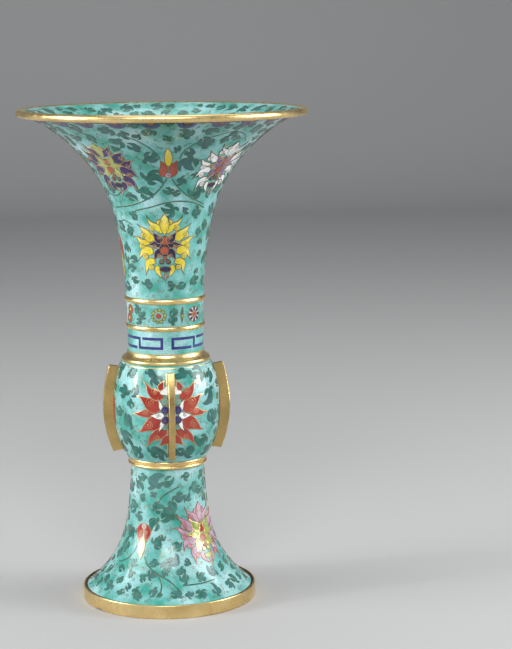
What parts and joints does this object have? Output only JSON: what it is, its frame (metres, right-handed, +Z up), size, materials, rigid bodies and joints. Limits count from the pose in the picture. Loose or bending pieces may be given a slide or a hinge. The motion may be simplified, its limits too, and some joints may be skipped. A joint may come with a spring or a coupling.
{
  "type": "cloisonne enamel gu vase",
  "caption": "Trumpet-mouthed altar vase: bell foot, round knop with gilt blade flanges, banded waist and wide flaring neck, turquoise enamel on copper with gilt mounts.",
  "frame": {"origin": "centre of the foot ring's underside, on the surface that the vase stands on", "axes": "+Z up along the vase's axis, -Y towards the front flange, +X to the right flange"},
  "size_m": [0.2324, 0.2324, 0.4],
  "materials": {
    "gilt": "worn satin gilding",
    "copper": "dark patina",
    "turquoise_enamel": "polished opaque enamel",
    "blue_enamel": "polished opaque enamel"
  },
  "bodies": {
    "root": {"foot_ring": "gilt", "foot_shell": "copper", "foot_enamel": "turquoise_enamel", "waist_collar": "gilt", "knop_shell": "copper", "floor_plate": "copper", "knop_enamel": "turquoise_enamel", "shoulder_collar": "gilt", "neck_shell": "copper", "lower_fillet": "gilt", "rosette_band_enamel": "turquoise_enamel", "upper_fillet": "gilt", "neck_enamel": "turquoise_enamel", "mouth_enamel": "turquoise_enamel", "mouth_rim": "gilt", "fret_band_enamel": "turquoise_enamel", "fret_inlays": "blue_enamel", "flange_right": "gilt", "flange_back": "gilt", "flange_left": "gilt", "flange_front": "gilt"}
  },
  "joints": []
}
